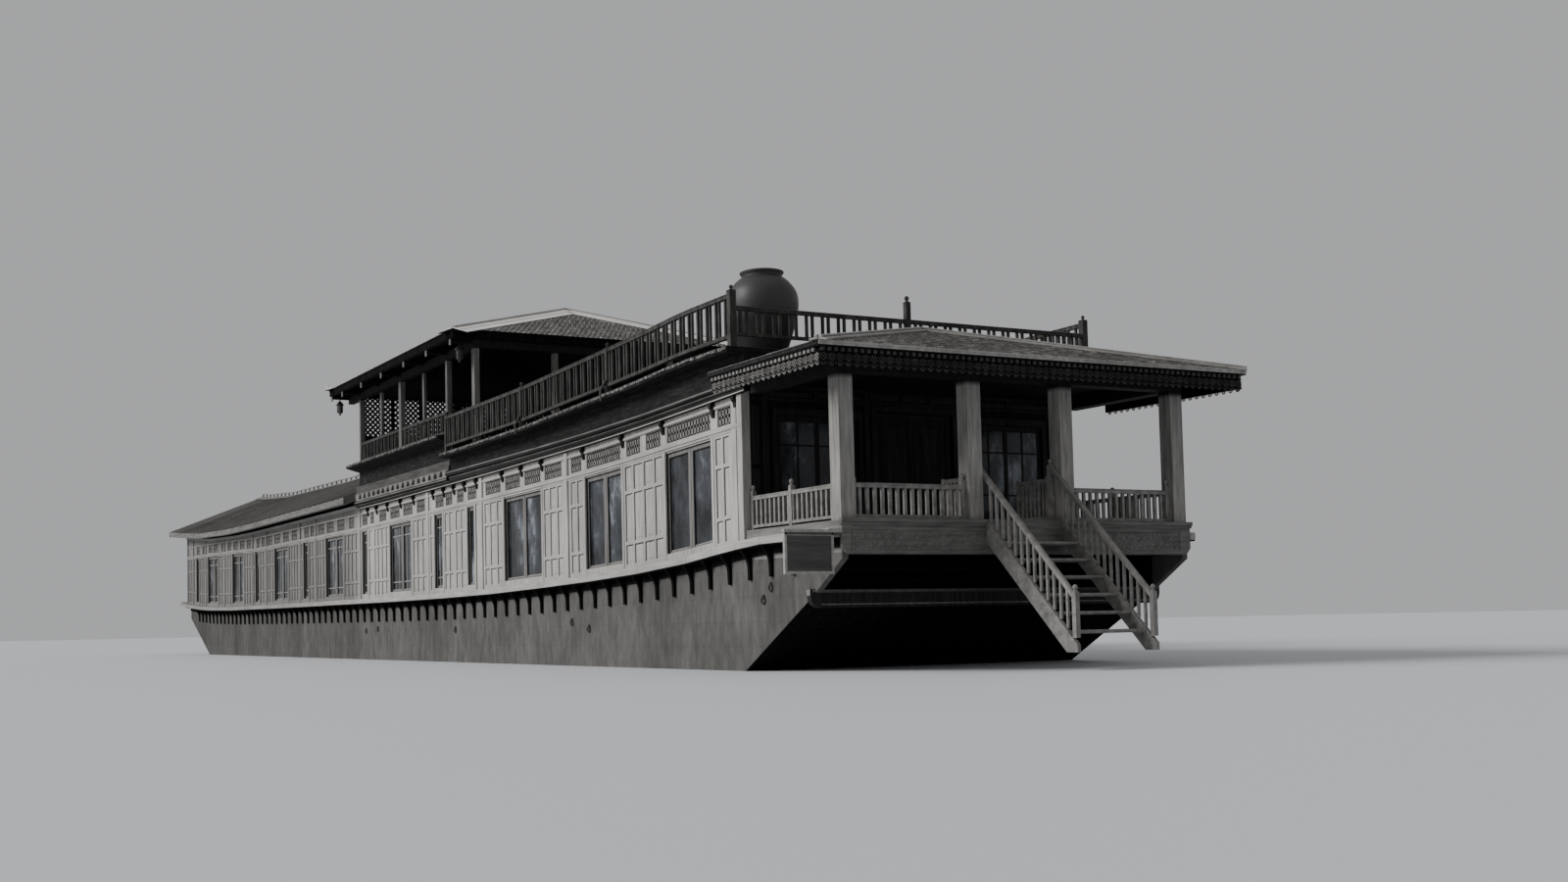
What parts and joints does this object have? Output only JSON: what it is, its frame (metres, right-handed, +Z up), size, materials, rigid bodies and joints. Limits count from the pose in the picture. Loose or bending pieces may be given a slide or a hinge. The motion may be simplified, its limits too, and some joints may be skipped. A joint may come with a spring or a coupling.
{
  "type": "lake houseboat",
  "caption": "Long flat-bottomed timber houseboat with panelled cabin, open bow porch with boarding stairs, roof deck with rails and a hip-roofed canopy.",
  "frame": {"origin": "on the flat bottom of the hull, on the centreline, halfway between the stern tip and the foot of the stairs", "axes": "+X to the bow, +Y to port, +Z up"},
  "size_m": [39.02, 6.5154, 7.3063],
  "materials": {
    "hull_paint": "weathered painted planks",
    "wall_paint": "weathered light paint on carved panels",
    "dark_wood": "dark oiled timber",
    "grey_wood": "bare weathered timber",
    "window": "dark reflecting glass in timber sashes",
    "sheet_roof": "dull weathered sheet metal",
    "shingle_roof": "weathered shingles",
    "ridge_metal": "light sheet metal",
    "lantern_metal": "dark metal",
    "urn_clay": "dark beaten metal"
  },
  "bodies": {
    "boat": {"hull": "hull_paint", "prow_beam": "dark_wood", "walkway_starboard": "wall_paint", "wall_fore_starboard": "wall_paint", "wall_aft_starboard": "wall_paint", "windows_fore_starboard": "window", "windows_aft_starboard": "window", "cornice_starboard": "grey_wood", "dentil_band_starboard": "wall_paint", "walkway_port": "wall_paint", "wall_fore_port": "wall_paint", "wall_aft_port": "wall_paint", "windows_fore_port": "window", "windows_aft_port": "window", "cornice_port": "grey_wood", "dentil_band_port": "wall_paint", "stern_deck": "wall_paint", "wall_stern": "wall_paint", "wall_middle": "dark_wood", "wall_porch": "dark_wood", "roof_deck": "dark_wood", "canopy_deck": "dark_wood", "aft_roof": "sheet_roof", "porch_floor": "grey_wood", "porch_apron": "grey_wood", "porch_frame": "grey_wood", "porch_valance": "grey_wood", "porch_roof": "shingle_roof", "porch_window_starboard": "window", "rail_front_starboard": "grey_wood", "rail_side_starboard": "grey_wood", "stair_rail_starboard": "grey_wood", "roof_rail_starboard": "dark_wood", "canopy_rail_starboard": "dark_wood", "porch_window_port": "window", "rail_front_port": "grey_wood", "rail_side_port": "grey_wood", "stair_rail_port": "grey_wood", "roof_rail_port": "dark_wood", "canopy_rail_port": "dark_wood", "stairs": "grey_wood", "sign_board": "grey_wood", "roof_rail_front": "dark_wood", "canopy_frame_starboard": "grey_wood", "canopy_frame_port": "grey_wood", "canopy_front": "grey_wood", "canopy_roof": "sheet_roof", "canopy_caps": "ridge_metal", "canopy_end": "dark_wood", "lantern_fore": "lantern_metal", "lantern_aft": "lantern_metal", "urn": "urn_clay"},
    "door_starboard": {"door_starboard": "dark_wood"},
    "door_port": {"door_port": "dark_wood"},
    "gate_starboard": {"gate_starboard": "grey_wood"},
    "gate_port": {"gate_port": "grey_wood"}
  },
  "joints": [
    {"name": "door_starboard_hinge", "type": "hinge", "parent": "boat", "child": "door_starboard", "pos_m": [15.86, -0.592, 3], "axis": [0, 0, 1], "range_deg": [0, 95]},
    {"name": "door_port_hinge", "type": "hinge", "parent": "boat", "child": "door_port", "pos_m": [15.86, 0.592, 3], "axis": [0, 0, 1], "range_deg": [-95, 0]},
    {"name": "gate_starboard_hinge", "type": "hinge", "parent": "boat", "child": "gate_starboard", "pos_m": [17.792, -0.575, 2.6], "axis": [0, 0, 1], "range_deg": [-90, 0]},
    {"name": "gate_port_hinge", "type": "hinge", "parent": "boat", "child": "gate_port", "pos_m": [17.792, 0.575, 2.6], "axis": [0, 0, 1], "range_deg": [0, 90]}
  ]
}
